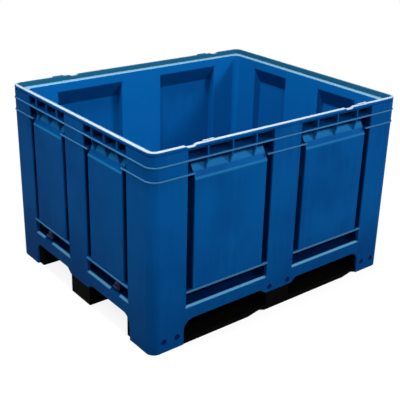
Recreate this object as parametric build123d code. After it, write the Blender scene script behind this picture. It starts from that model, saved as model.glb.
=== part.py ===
from build123d import *
import os
from math import hypot

# A closed-wall plastic pallet box on three runners, in millimetres.
# X runs along the long sides, Z is up, and the origin is on the floor under the middle of the box.

# Overall size
LENGTH = 1200.0
WIDTH = 1000.0
HEIGHT = 760.0
CORNER_RADIUS = 35.0
LEDGE_REACH = 3.0

# Wall make-up: hollow posts, with panels between them that stand out to the post faces
WALL_DEPTH = 45.0
SKIN = 5.0
INNER_RADIUS = 28.0
CORNER_POST = 147.0
MID_POST = 135.0
GROOVE_WIDTH = 30.0

# Levels of the wall: the lower ones from the floor up, and drops from the top of the rim to the upper ones
FORK_TOP = 100.0
FLOOR_TOP = 150.0
FLOOR_THICKNESS = 6.0
SLOT_HEIGHT = 58.0
FLANGE = 8.0
PANEL_DROP = 124.0
LEDGE_2_DROP = 103.0
LEDGE_1_DROP = 53.0
LEDGE = 6.0
LEDGE_ROUNDING = 2.0

# Rim: an upstand round the outside and a flat shelf inside it, with the stacking lugs and dips of the long sides
RIM = 12.0
UPSTAND = 15.0
SHELF_DROP = 18.0
RIM_OUTER_ROUNDING = 6.0
RIM_INNER_ROUNDING = 3.0
SHELF_ROUNDING = 4.0
UNDERCUT_HEIGHT = 6.0
UNDERCUT_DEPTH = 4.0
STACK_PAIRS = (-400.0, 356.0)
STACK_OFFSET = 38.0
STACK_LENGTH = 48.0
LUG_HEIGHT = 4.0
LUG_WIDTH = 6.0
DIP_DEPTH = 6.0
DIP_RAMP = 12.0
STACK_CLEARANCE = 1.0

# Gussets in the pockets under the rim, three to a panel
GUSSET = 5.0
GUSSET_SETBACK = 12.0
GUSSET_PITCH_LONG = 107.0
GUSSET_PITCH_SHORT = 82.0

# Bottom band with feet, skirts and the lip of the slot
FOOT_SKIN = 10.0
FOOT_WIDTH = 139.0
SKIRT_BOTTOM = 80.0
FORK_RADIUS = 42.0
SKIRT_RUN = 25.0
SKIRT_RADIUS = 22.0
LIP_HEIGHT = 2.0
LIP_DEPTH = 16.0
LIP_ROUNDING = 11.0

# Ribs under the floor
RIB = 5.0
RIB_COUNT_ALONG = 7
RIB_COUNT_ACROSS = 8

# Runners: a sole on the floor with a block at each end and one in the middle
RUNNER_GAP = 0.5
SOLE = 22.0
RUNNER_WIDTH = 160.0
MIDDLE_RUNNER_WIDTH = 140.0
APRON_INSET = 3.0
END_BLOCK = 125.0
MID_BLOCK = 120.0
BLOCK_WALL = 10.0
TONGUE_DEPTH = 28.0
TONGUE_TOP = 128.0
NOTCH_LENGTH = 88.0
NOTCH_APEX = 32.0
NOTCH_HEIGHT = 11.0

# Pins through the feet and the mid skirts of the long sides
PIN_HEAD_RADIUS = 11.7
PIN_HEAD = 4.0
PIN_RADIUS = 6.0
PIN_LENGTH = 30.0
PIN_CLEARANCE = 0.3
RECESS_DEPTH = 6.0
FOOT_PINS = (52.0, 110.0)
FOOT_PIN_LEVEL = 43.0
SKIRT_PIN_OFFSET = 48.0
SKIRT_PIN_LEVEL = 101.0

# Screws of the middle runner, from below
SCREW_RADIUS = 4.0
SCREW_HEAD_RADIUS = 9.0
SCREW_HEAD = 6.0
SCREW_SEAT = 12.0
SCREW_TOP = 132.0
SCREW_OFFSET = 40.0
SCREW_CLEARANCE = 0.3
SCREW_BOSS_RADIUS = 13.0

# Drain outlets in the short walls, each with a bung and its seal
DRAIN_OFFSET = 255.0
DRAIN_LEVEL = 20.0
DRAIN_BORE_RADIUS = 14.0
DRAIN_BOSS_RADIUS = 21.0
DRAIN_BOSS = 16.0
DRAIN_CLEARANCE = 0.3
BUNG_HEAD_RADIUS = 18.5
BUNG_HEAD = 7.0
BUNG_GRIP = 10.0
BUNG_GRIP_LENGTH = 30.0
BUNG_GRIP_WIDTH = 8.0
BUNG_TIP = 2.0
SEAL = 3.0
SEAL_WIDTH = 4.0
SEAL_GAP = 0.1
LIP_NOTCH = 65.0
LIP_NOTCH_HEIGHT = 7.0
LIP_NOTCH_DEPTH = 9.0

# How far a cut runs past a face, and how far a piece runs into what it joins
CUT = 5.0
MERGE = 1.0

# Derived planes and levels
FACE_X = LENGTH / 2 - LEDGE_REACH
FACE_Y = WIDTH / 2 - LEDGE_REACH
INNER_X = FACE_X - WALL_DEPTH
INNER_Y = FACE_Y - WALL_DEPTH
POCKET_DEPTH = WALL_DEPTH - SKIN
FLOOR_UNDER = FLOOR_TOP - FLOOR_THICKNESS
LIP_TOP = FLOOR_TOP + LIP_HEIGHT
SLOT_TOP = FLOOR_TOP + SLOT_HEIGHT
PANEL_BOTTOM = SLOT_TOP + FLANGE
PANEL_TOP = HEIGHT - PANEL_DROP
LEDGE_2 = HEIGHT - LEDGE_2_DROP
LEDGE_1 = HEIGHT - LEDGE_1_DROP
POCKET_TOP = LEDGE_1 - LEDGE / 2
POCKET_SLOPE = (POCKET_TOP - PANEL_TOP) / POCKET_DEPTH
RIM_UNDER = HEIGHT - RIM
SHELF_TOP = HEIGHT - SHELF_DROP
CORE_TOP = SHELF_TOP - SKIN
RUNNER_END = FACE_X - FOOT_SKIN - RUNNER_GAP
RUNNER_SIDE = FACE_Y - FOOT_SKIN - RUNNER_GAP
DRAIN_CENTRE = FLOOR_TOP + DRAIN_LEVEL
DRAIN_FACE = POCKET_DEPTH - DRAIN_BOSS

# Each wall is drawn as the front wall, along X with its face towards -Y, and turned about Z to its place
LONG_TURNS = {"front": 0, "rear": 180}
SHORT_TURNS = {"left": -90, "right": 90}
WALLS = (
    (FACE_X, FACE_Y, GUSSET_PITCH_LONG, LONG_TURNS),
    (FACE_Y, FACE_X, GUSSET_PITCH_SHORT, SHORT_TURNS),
)


def block(x, y, z):
    """A box between the low and high limits given for each axis."""
    low = Vector(min(x), min(y), min(z))
    high = Vector(max(x), max(y), max(z))
    return Pos((low + high) * 0.5) * Box(*(high - low))


def prism(half_x, half_y, radius, z):
    """An upright prism over a rounded rectangle."""
    outline = RectangleRounded(2 * half_x, 2 * half_y, radius)
    return Pos(0, 0, z[0]) * extrude(outline, amount=z[1] - z[0])


def bar(x, profile):
    """A bar along X over a closed profile of (y, z) points."""
    face = make_face(Polyline(*profile, close=True))
    return Pos(min(x), 0, 0) * extrude(Plane.YZ * face, amount=max(x) - min(x))


def slab(outline, y):
    """A plate over a face drawn in (x, z), between two limits along Y."""
    return Pos(0, max(y), 0) * extrude(Plane.XZ * outline, amount=max(y) - min(y))


def upright_cylinder(radius, x, y, z):
    """A cylinder along Z between two limits."""
    return Pos(x, y, (z[0] + z[1]) / 2) * Cylinder(radius, z[1] - z[0])


def lying_cylinder(radius, x, y, z):
    """A cylinder along Y between two limits."""
    return Pos(x, (y[0] + y[1]) / 2, z) * Rot(90, 0, 0) * Cylinder(radius, y[1] - y[0])


def turned(shape, angle):
    """A shape drawn for the front wall, turned to another wall."""
    return Rot(0, 0, angle) * shape


def panel_spans(half):
    """The two panels of a wall, each as side, groove start, panel start, panel end and groove end."""
    post = MID_POST / 2
    corner = half - CORNER_POST
    return [(side, post, post + GROOVE_WIDTH, corner - GROOVE_WIDTH, corner) for side in (-1, 1)]


def gusset_places(start, end, pitch):
    """The middle of a panel and one pitch to either side of it."""
    middle = (start + end) / 2
    return [middle - pitch, middle, middle + pitch]


def cells(start, end, places):
    """The stretches between gussets, from one end of a pocket to the other."""
    edges = [start]
    for place in places:
        edges += [place - GUSSET / 2, place + GUSSET / 2]
    edges.append(end)
    return list(zip(edges[0::2], edges[1::2]))


def slope_level(depth):
    """Height of the sloped pocket floor at a depth behind the wall face."""
    return PANEL_TOP + POCKET_SLOPE * depth


def wall_cuts(half, face, pitch):
    """What the outside of one wall loses: grooves, bottom slots and the pockets under the rim."""
    deep = (-face - CUT, -face + POCKET_DEPTH)
    front = [(-face - CUT, POCKET_TOP), (-face - CUT, PANEL_TOP), (-face, PANEL_TOP)]
    wedge = front + [(-face + POCKET_DEPTH, POCKET_TOP)]
    clear = front + [(-face + GUSSET_SETBACK, slope_level(GUSSET_SETBACK)), (-face, POCKET_TOP)]
    cuts = []
    for side, post, start, end, corner in panel_spans(half):
        places = gusset_places(start, end, pitch)
        for low, high in ((post, start), (end, corner)):
            cuts.append(block((side * low, side * high), deep, (PANEL_BOTTOM, POCKET_TOP)))
        cuts.append(block((side * post, side * corner), deep, (FLOOR_TOP, SLOT_TOP)))
        for low, high in cells(post, corner, places):
            along = (side * low, side * high)
            cuts.append(block(along, deep, (POCKET_TOP + LEDGE, CORE_TOP)))
            cuts.append(block(along, (deep[0], -face + UPSTAND - SKIN), (POCKET_TOP + LEDGE, RIM_UNDER)))
        for low, high in cells(start, end, places):
            cuts.append(bar((side * low, side * high), wedge))
        cuts.append(bar((side * start, side * end), clear))
    return cuts


def wall_bays(half, face):
    """The recesses of one wall on the inside, one behind each panel, with a sloped ceiling."""
    drop = SKIN * hypot(1.0, POCKET_SLOPE)
    inside = WALL_DEPTH + CUT
    profile = [
        (-face + SKIN, PANEL_BOTTOM),
        (-face + inside, PANEL_BOTTOM),
        (-face + inside, slope_level(inside) - drop),
        (-face + SKIN, slope_level(SKIN) - drop),
    ]
    return [
        bar((side * (start + SKIN), side * (end - SKIN)), profile)
        for side, post, start, end, corner in panel_spans(half)
    ]


def fork_cut(half, face):
    """What the bottom band of one wall loses: two fork openings and the space under its skirt."""
    foot = half - FOOT_WIDTH
    skirt = MID_POST / 2
    run = skirt + SKIRT_RUN
    right = [(skirt, SKIRT_BOTTOM), (run, FORK_TOP), (foot, FORK_TOP), (foot, -CUT)]
    left = [(-x, z) for x, z in reversed(right)]
    outline = make_face(Polyline(*left, *right, close=True))
    bends = outline.vertices().filter_by(lambda v: abs(v.X) < foot - MERGE)
    outline = fillet(bends, SKIRT_RADIUS)
    corners = outline.vertices().filter_by(lambda v: abs(v.X) > foot - MERGE and v.Y > 0)
    outline = fillet(corners, FORK_RADIUS)
    return slab(outline, (-face - CUT, -face + FOOT_SKIN))


def wall_shelves(half, face):
    """The shelves across the grooves and pockets of one wall, and the lips of its bottom slots."""
    deep = (-face, -face + POCKET_DEPTH + MERGE)
    pieces = []
    for side, post, start, end, corner in panel_spans(half):
        along = (side * post, side * corner)
        pieces.append(block(along, deep, (POCKET_TOP, POCKET_TOP + LEDGE)))
        for low, high in ((post, start), (end, corner)):
            bridge = (LEDGE_2 - LEDGE / 2, LEDGE_2 + LEDGE / 2)
            pieces.append(block((side * low, side * high), deep, bridge))
        flange = block(along, (-face - LEDGE_REACH, deep[1]), (SLOT_TOP, PANEL_BOTTOM))
        outer = flange.edges().filter_by(Axis.X).group_by(Axis.Y)[0]
        pieces.append(fillet(outer, LEDGE_ROUNDING))
        pieces.append(block(along, (-face, -face + LIP_DEPTH), (FLOOR_UNDER, LIP_TOP)))
    return pieces


def lip_roundings(half, face):
    """What the lips of one wall lose to the large rounding of their outer edges."""
    middle_y = -face + LIP_ROUNDING
    middle_z = LIP_TOP - LIP_ROUNDING
    cutters = []
    for side, post, start, end, corner in panel_spans(half):
        edge = block((side * post, side * corner), (-face - CUT, middle_y), (middle_z, LIP_TOP + CUT))
        middle = Pos(side * (post + corner) / 2, middle_y, middle_z)
        cutters.append(edge - middle * Rot(0, 90, 0) * Cylinder(LIP_ROUNDING, corner - post + CUT))
    return cutters


def ledge_ring(level):
    """A ledge that runs round all four walls, with its outer edges rounded."""
    z = (level - LEDGE / 2, level + LEDGE / 2)
    outer = prism(LENGTH / 2, WIDTH / 2, CORNER_RADIUS + LEDGE_REACH, z)
    ends = outer.faces().sort_by(Axis.Z)
    outer = fillet(ends[0].edges() + ends[-1].edges(), LEDGE_ROUNDING)
    through = (z[0] - CUT, z[1] + CUT)
    return outer - prism(FACE_X - SKIN, FACE_Y - SKIN, CORNER_RADIUS - SKIN, through)


def panel_gaps(half, face, level):
    """Where a ledge stops at the two panels of one wall."""
    z = (level - LEDGE, level + LEDGE)
    y = (-face - LEDGE_REACH - CUT, -face + POCKET_DEPTH)
    return [block((side * start, side * end), y, z) for side, post, start, end, corner in panel_spans(half)]


def post_cores():
    """The hollows of the corner posts and mid posts, open at their lower ends."""
    z = (FLOOR_UNDER - CUT, CORE_TOP)
    limit = prism(FACE_X - SKIN, FACE_Y - SKIN, CORNER_RADIUS - SKIN, z)
    corner_x = FACE_X - CORNER_POST + SKIN
    corner_y = FACE_Y - CORNER_POST + SKIN
    cores = []
    for sx in (-1, 1):
        for sy in (-1, 1):
            along_x = block((sx * corner_x, sx * FACE_X), (sy * (INNER_Y + SKIN), sy * FACE_Y), z)
            along_y = block((sx * (INNER_X + SKIN), sx * FACE_X), (sy * corner_y, sy * FACE_Y), z)
            cores.append((along_x + along_y) & limit)
    half = MID_POST / 2 - SKIN
    for face, turns in ((FACE_Y, LONG_TURNS), (FACE_X, SHORT_TURNS)):
        core = block((-half, half), (-face + SKIN, -face + POCKET_DEPTH), z)
        cores += [turned(core, angle) for angle in turns.values()]
    return cores


def evenly(count, half):
    """Places that split a width into equal bays."""
    pitch = 2 * half / (count + 1)
    return [(i + 1) * pitch - half for i in range(count)]


def floor_ribs():
    """The grid of ribs under the floor, which stands on the runner blocks."""
    z = (FORK_TOP, FLOOR_UNDER + MERGE)
    inside_x = FACE_X - FOOT_SKIN
    inside_y = FACE_Y - FOOT_SKIN
    along = (-inside_x - MERGE, inside_x + MERGE)
    across = (-inside_y - MERGE, inside_y + MERGE)
    ribs = [block(along, (y - RIB / 2, y + RIB / 2), z) for y in evenly(RIB_COUNT_ALONG, inside_y)]
    return ribs + [block((x - RIB / 2, x + RIB / 2), across, z) for x in evenly(RIB_COUNT_ACROSS, inside_x)]


def tongue_sockets():
    """Room among the ribs for the tongues of the outer runners, behind the mid skirts."""
    half = MID_BLOCK / 2 + RUNNER_GAP
    depth = (-FACE_Y + FOOT_SKIN, -RUNNER_SIDE + TONGUE_DEPTH + RUNNER_GAP)
    socket = block((-half, half), depth, (FORK_TOP - CUT, FLOOR_UNDER))
    return [turned(socket, angle) for angle in LONG_TURNS.values()]


def shelf_space(top):
    """The room inside the upstand of the rim, from the shelf up."""
    return prism(FACE_X - UPSTAND, FACE_Y - UPSTAND, CORNER_RADIUS - UPSTAND, (SHELF_TOP, top))


def rim_ring():
    """The top of the upstand: a ring with a large rounding outside and a small one inside."""
    outer = prism(FACE_X, FACE_Y, CORNER_RADIUS, (RIM_UNDER, HEIGHT))
    outer = fillet(outer.faces().sort_by(Axis.Z)[-1].edges(), RIM_OUTER_ROUNDING)
    rim = outer - shelf_space(HEIGHT + CUT)
    top = rim.faces().sort_by(Axis.Z)[-1]
    return fillet(top.inner_wires()[0].edges(), RIM_INNER_ROUNDING)


def bare_walls():
    """The plain walls with the load space inside them, up to the rim, and the shelf with its inner edge rounded."""
    walls = prism(FACE_X, FACE_Y, CORNER_RADIUS, (0.0, RIM_UNDER))
    walls = walls - prism(INNER_X, INNER_Y, INNER_RADIUS, (FLOOR_TOP, RIM_UNDER + CUT))
    walls = walls - shelf_space(RIM_UNDER + CUT)
    levels = walls.faces().filter_by(Axis.Z).filter_by(lambda face: abs(face.center().Z - SHELF_TOP) < MERGE)
    return fillet(levels[0].inner_wires()[0].edges(), SHELF_ROUNDING)


def lug_room(x, clearance=0.0):
    """The plan limits of one stacking lug on the front rim, or of the recess that takes it."""
    half = STACK_LENGTH / 2 + clearance
    wide = LUG_WIDTH / 2 + clearance
    middle = -FACE_Y + (RIM_OUTER_ROUNDING + UPSTAND - RIM_INNER_ROUNDING) / 2
    return (x - half, x + half), (middle - wide, middle + wide)


def stacking_lugs():
    """The lugs that stand on the long rims, the same under half a turn."""
    lugs = []
    for centre in STACK_PAIRS:
        lug = block(*lug_room(centre + STACK_OFFSET), (HEIGHT - MERGE, HEIGHT + LUG_HEIGHT))
        lug = fillet(lug.edges().group_by(Axis.Z)[-1], LUG_HEIGHT / 2)
        lugs += [turned(lug, angle) for angle in LONG_TURNS.values()]
    return lugs


def stacking_dips():
    """The dips across the long rims, the same under half a turn."""
    half = STACK_LENGTH / 2
    foot = half - DIP_RAMP
    low = HEIGHT - DIP_DEPTH
    profile = [(-half, HEIGHT), (-foot, low), (foot, low), (half, HEIGHT)]
    profile += [(half, HEIGHT + CUT), (-half, HEIGHT + CUT)]
    dip = slab(make_face(Polyline(*profile, close=True)), (-FACE_Y - CUT, -FACE_Y + UPSTAND + CUT))
    dips = [Pos(centre - STACK_OFFSET, 0, 0) * dip for centre in STACK_PAIRS]
    return [turned(shape, angle) for shape in dips for angle in LONG_TURNS.values()]


def pin_places():
    """Where the runner pins of the front wall go: a name, and an (x, z) for each of its two pins."""
    foot = [FACE_X - place for place in FOOT_PINS]
    return {
        "left": [(-x, FOOT_PIN_LEVEL) for x in foot],
        "middle": [(-SKIRT_PIN_OFFSET, SKIRT_PIN_LEVEL), (SKIRT_PIN_OFFSET, SKIRT_PIN_LEVEL)],
        "right": [(x, FOOT_PIN_LEVEL) for x in foot],
    }


def pin(x, z):
    """One runner pin of the front wall."""
    seat = -FACE_Y + RECESS_DEPTH
    head = lying_cylinder(PIN_HEAD_RADIUS, x, (seat - PIN_HEAD, seat), z)
    return head + lying_cylinder(PIN_RADIUS, x, (seat, seat + PIN_LENGTH), z)


def pin_hole(x, z):
    """The stepped hole for one runner pin, open to the outside."""
    seat = -FACE_Y + RECESS_DEPTH
    recess = lying_cylinder(PIN_HEAD_RADIUS + PIN_CLEARANCE, x, (-FACE_Y - CUT, seat), z)
    end = seat + PIN_LENGTH + PIN_CLEARANCE
    return recess + lying_cylinder(PIN_RADIUS + PIN_CLEARANCE, x, (seat, end), z)


def block_centres():
    """The middles of a runner's three blocks along X, each with its length."""
    end = RUNNER_END - END_BLOCK / 2
    return {"left": (-end, END_BLOCK), "middle": (0.0, MID_BLOCK), "right": (end, END_BLOCK)}


def screw_places():
    """Where the screws of the middle runner go: two at each block."""
    return {name: [(x, -SCREW_OFFSET), (x, SCREW_OFFSET)] for name, (x, length) in block_centres().items()}


def screw(x, y):
    """One screw of the middle runner, head down."""
    head = upright_cylinder(SCREW_HEAD_RADIUS, x, y, (SCREW_SEAT - SCREW_HEAD, SCREW_SEAT))
    return head + upright_cylinder(SCREW_RADIUS, x, y, (SCREW_SEAT, SCREW_TOP))


def screw_hole(x, y):
    """The stepped hole for one screw, open to the floor."""
    recess = upright_cylinder(SCREW_HEAD_RADIUS + SCREW_CLEARANCE, x, y, (-CUT, SCREW_SEAT))
    end = SCREW_TOP + SCREW_CLEARANCE
    return recess + upright_cylinder(SCREW_RADIUS + SCREW_CLEARANCE, x, y, (SCREW_SEAT, end))


def drain_places():
    """Where the drains of the short walls go: a name, the turn of the wall and the place along it."""
    front_side = {"left": 1, "right": -1}
    places = {}
    for wall, angle in SHORT_TURNS.items():
        places[f"{wall}_front"] = (angle, front_side[wall] * DRAIN_OFFSET)
        places[f"{wall}_rear"] = (angle, -front_side[wall] * DRAIN_OFFSET)
    return places


def drain_boss(along):
    """The socket of one drain, on the outside of the inner skin of a short wall."""
    limits = (-FACE_X + DRAIN_FACE, -FACE_X + POCKET_DEPTH + MERGE)
    return lying_cylinder(DRAIN_BOSS_RADIUS, along, limits, DRAIN_CENTRE)


def drain_cut(along):
    """The bore of one drain and the gap in the lip in front of it."""
    limits = (-FACE_X + DRAIN_FACE - CUT, -INNER_X + CUT)
    bore = lying_cylinder(DRAIN_BORE_RADIUS, along, limits, DRAIN_CENTRE)
    gap = (along - LIP_NOTCH / 2, along + LIP_NOTCH / 2)
    way_out = block(gap, (-FACE_X - CUT, -FACE_X + LIP_DEPTH + MERGE), (FLOOR_TOP, LIP_TOP + CUT))
    notch = block(gap, (-FACE_X - CUT, -FACE_X + LIP_NOTCH_DEPTH), (LIP_TOP - LIP_NOTCH_HEIGHT, LIP_TOP))
    return bore + way_out + notch


def bung(along):
    """One drain bung: a plug, a head that covers the seal, and a bar to pull it by."""
    under_head = -FACE_X + DRAIN_FACE - SEAL_GAP - SEAL
    front = under_head - BUNG_HEAD
    plug_limits = (under_head, -INNER_X - BUNG_TIP)
    plug = lying_cylinder(DRAIN_BORE_RADIUS - DRAIN_CLEARANCE, along, plug_limits, DRAIN_CENTRE)
    head = lying_cylinder(BUNG_HEAD_RADIUS, along, (front, under_head), DRAIN_CENTRE)
    half = BUNG_GRIP_LENGTH / 2
    wide = BUNG_GRIP_WIDTH / 2
    grip = block(
        (along - half, along + half),
        (front - BUNG_GRIP, front + MERGE),
        (DRAIN_CENTRE - wide, DRAIN_CENTRE + wide),
    )
    grip = fillet(grip.edges().group_by(Axis.Y)[0], wide / 2)
    return plug + head + grip


def seal(along):
    """The ring between the head of a bung and its socket."""
    face = -FACE_X + DRAIN_FACE - SEAL_GAP
    ring = lying_cylinder(DRAIN_BORE_RADIUS + SEAL_WIDTH, along, (face - SEAL, face), DRAIN_CENTRE)
    return ring - lying_cylinder(DRAIN_BORE_RADIUS, along, (face - SEAL - CUT, face + CUT), DRAIN_CENTRE)


def shell():
    """The walls, floor plate and feet of the body, with every recess and hollow cut."""
    under = prism(FACE_X - FOOT_SKIN, FACE_Y - FOOT_SKIN, CORNER_RADIUS - FOOT_SKIN, (-CUT, FLOOR_UNDER))
    z = (RIM_UNDER - UNDERCUT_HEIGHT, RIM_UNDER)
    kept = prism(FACE_X - UNDERCUT_DEPTH, FACE_Y - UNDERCUT_DEPTH, CORNER_RADIUS - UNDERCUT_DEPTH, z)
    undercut = prism(FACE_X + CUT, FACE_Y + CUT, CORNER_RADIUS + CUT, z) - kept
    cuts = [under, undercut]
    for half, face, pitch, turns in WALLS:
        shapes = wall_cuts(half, face, pitch) + wall_bays(half, face) + [fork_cut(half, face)]
        cuts += [turned(shape, angle) for shape in shapes for angle in turns.values()]
    return bare_walls() - cuts - post_cores()


def box_body():
    """The one-piece body: shell, ribs, ledges, rim, bosses and lugs, with the holes for what it holds."""
    upper_ledge = ledge_ring(LEDGE_1)
    lower_ledge = ledge_ring(LEDGE_2)
    added = [rim_ring()] + stacking_lugs()
    for half, face, pitch, turns in WALLS:
        for angle in turns.values():
            added += [turned(shape, angle) for shape in wall_shelves(half, face)]
            lower_ledge = lower_ledge - [turned(gap, angle) for gap in panel_gaps(half, face, LEDGE_2)]
    added += [upper_ledge, lower_ledge]
    added += [turned(drain_boss(along), angle) for angle, along in drain_places().values()]
    screws = [place for pair in screw_places().values() for place in pair]
    boss_z = (FORK_TOP, FLOOR_UNDER + MERGE)
    added += [upright_cylinder(SCREW_BOSS_RADIUS, x, y, boss_z) for x, y in screws]

    holes = stacking_dips() + [screw_hole(x, y) for x, y in screws]
    for half, face, pitch, turns in WALLS:
        holes += [turned(shape, angle) for shape in lip_roundings(half, face) for angle in turns.values()]
    holes += [turned(drain_cut(along), angle) for angle, along in drain_places().values()]
    for pair in pin_places().values():
        for x, z in pair:
            holes += [turned(pin_hole(x, z), angle) for angle in LONG_TURNS.values()]
    return shell() + floor_ribs() - tongue_sockets() + added - holes


def sole_notches(y):
    """The notches under a sole, each rising towards a block and falling back to the floor at it."""
    notches = []
    for edge in (-MID_BLOCK / 2, RUNNER_END - END_BLOCK):
        profile = [(edge - NOTCH_LENGTH, 0), (edge - NOTCH_APEX, NOTCH_HEIGHT), (edge, 0)]
        notches.append(slab(make_face(Polyline(*profile, close=True)), (y[0] - CUT, y[1] + CUT)))
    return notches


def block_pockets(centre, length, y):
    """The two hollows of a runner block, open at its top, with a web between them."""
    web = SCREW_HEAD_RADIUS + BLOCK_WALL / 2
    far = length / 2 - BLOCK_WALL
    z = (SOLE, FORK_TOP + CUT)
    return [block((centre + side * web, centre + side * far), y, z) for side in (-1, 1)]


def runner_blocks(y, hollow):
    """A sole with its three hollow blocks."""
    runner = block((-RUNNER_END, RUNNER_END), y, (0, SOLE))
    for centre, length in block_centres().values():
        half = length / 2
        runner = runner + block((centre - half, centre + half), y, (0, FORK_TOP))
        runner = runner - block_pockets(centre, length, hollow)
    return runner


def outer_runner():
    """The front runner, with a tongue behind the mid skirt and an apron between the feet."""
    y = (-RUNNER_SIDE, -RUNNER_SIDE + RUNNER_WIDTH)
    solid_depth = RECESS_DEPTH + PIN_LENGTH + BLOCK_WALL
    runner = runner_blocks(y, (-FACE_Y + solid_depth, y[1] - BLOCK_WALL))
    half = MID_BLOCK / 2
    tongue = block((-half, half), (-RUNNER_SIDE, -RUNNER_SIDE + TONGUE_DEPTH), (0, TONGUE_TOP))
    radius = CORNER_RADIUS - FOOT_SKIN - RUNNER_GAP
    runner = (runner + tongue) & prism(RUNNER_END, RUNNER_SIDE, radius, (0, TONGUE_TOP))
    between = FACE_X - FOOT_WIDTH - RUNNER_GAP
    apron = (-FACE_Y + APRON_INSET, -RUNNER_SIDE + MERGE)
    runner = runner + block((-between, between), apron, (0, SOLE))
    runner = runner + block((-half, half), apron, (0, SKIRT_BOTTOM - RUNNER_GAP))
    cuts = sole_notches((apron[0], y[1]))
    for centre in STACK_PAIRS:
        room = lug_room(centre + STACK_OFFSET, STACK_CLEARANCE)
        cuts.append(block(*room, (-CUT, LUG_HEIGHT + STACK_CLEARANCE)))
    for pair in pin_places().values():
        cuts += [pin_hole(x, z) for x, z in pair]
    return runner - cuts


def middle_runner():
    """The runner under the middle of the box, screwed up into the floor."""
    half = MIDDLE_RUNNER_WIDTH / 2
    y = (-half, half)
    runner = runner_blocks(y, (-half + BLOCK_WALL, half - BLOCK_WALL))
    for side in (-1, 1):
        toe = (side * (RUNNER_END - MERGE), side * (FACE_X - APRON_INSET))
        runner = runner + block(toe, y, (0, SKIRT_BOTTOM - RUNNER_GAP))
    cuts = sole_notches(y)
    for pair in screw_places().values():
        cuts += [screw_hole(x, y) for x, y in pair]
    return runner - cuts


def nodes():
    """Every node by its name, each as a list of the solids that it holds."""
    pieces = {"box_body": [box_body()], "runner_middle": [middle_runner()]}
    front = outer_runner()
    across = {"left": "right", "middle": "middle", "right": "left"}
    for wall, angle in LONG_TURNS.items():
        pieces[f"runner_{wall}"] = [turned(front, angle)]
        for name, pair in pin_places().items():
            place = name if wall == "front" else across[name]
            pieces[f"runner_pins_{wall}_{place}"] = [turned(pin(x, z), angle) for x, z in pair]
    for name, pair in screw_places().items():
        pieces[f"runner_screws_{name}"] = [screw(x, y) for x, y in pair]
    for name, (angle, along) in drain_places().items():
        pieces[f"drain_bung_{name}"] = [turned(bung(along), angle)]
        pieces[f"drain_seal_{name}"] = [turned(seal(along), angle)]
    return pieces


def main():
    """Writes each node as one file."""
    os.makedirs("parts", exist_ok=True)
    for name, solids in nodes().items():
        shape = solids[0] if len(solids) == 1 else Compound(children=solids)
        export_step(shape, os.path.join("parts", f"{name}.step"))


main()
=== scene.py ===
"""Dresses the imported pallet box: blue moulded body, black runners, pins, screws, drain bungs and seals."""
import logging
import math
from dataclasses import dataclass, field
from enum import Enum
from typing import Any, Mapping, Optional, Sequence, Union

import bmesh
import bpy
from mathutils import Matrix, Vector


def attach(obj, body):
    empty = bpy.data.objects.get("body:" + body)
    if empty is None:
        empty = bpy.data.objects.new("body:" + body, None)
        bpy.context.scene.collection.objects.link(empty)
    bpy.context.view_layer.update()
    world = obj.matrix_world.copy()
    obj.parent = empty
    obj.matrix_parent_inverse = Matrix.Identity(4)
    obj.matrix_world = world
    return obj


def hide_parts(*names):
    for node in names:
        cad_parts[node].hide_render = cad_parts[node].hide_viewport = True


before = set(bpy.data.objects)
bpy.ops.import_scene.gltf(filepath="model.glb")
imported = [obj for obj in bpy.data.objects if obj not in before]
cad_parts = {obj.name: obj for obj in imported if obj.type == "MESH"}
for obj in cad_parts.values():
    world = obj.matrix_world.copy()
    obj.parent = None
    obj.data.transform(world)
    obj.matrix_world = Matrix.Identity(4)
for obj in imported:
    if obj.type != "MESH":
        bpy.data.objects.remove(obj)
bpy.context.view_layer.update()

LOG = logging.getLogger("pallet_box")
MM = 0.001
Colour = tuple[float, float, float]
Point = tuple[float, float, float]
Span = tuple[float, float]
Operand = Union["Socket", float]
WHITE: Colour = (1.0, 1.0, 1.0)


class Slot(Enum):
    """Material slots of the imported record."""

    BODY = "body_plastic"
    RUNNER = "runner_plastic"
    PIN = "pin_plastic"
    SCREW = "screw_steel"
    BUNG = "bung_plastic"
    SEAL = "seal_rubber"


class Side(Enum):
    """The two short walls, by the sign of X."""

    LEFT = -1
    RIGHT = 1


class End(Enum):
    """The two long walls, by the sign of Y."""

    FRONT = -1
    REAR = 1


class Block(Enum):
    """The three blocks of a runner, by the sign of X."""

    LEFT = -1
    MIDDLE = 0
    RIGHT = 1


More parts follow.
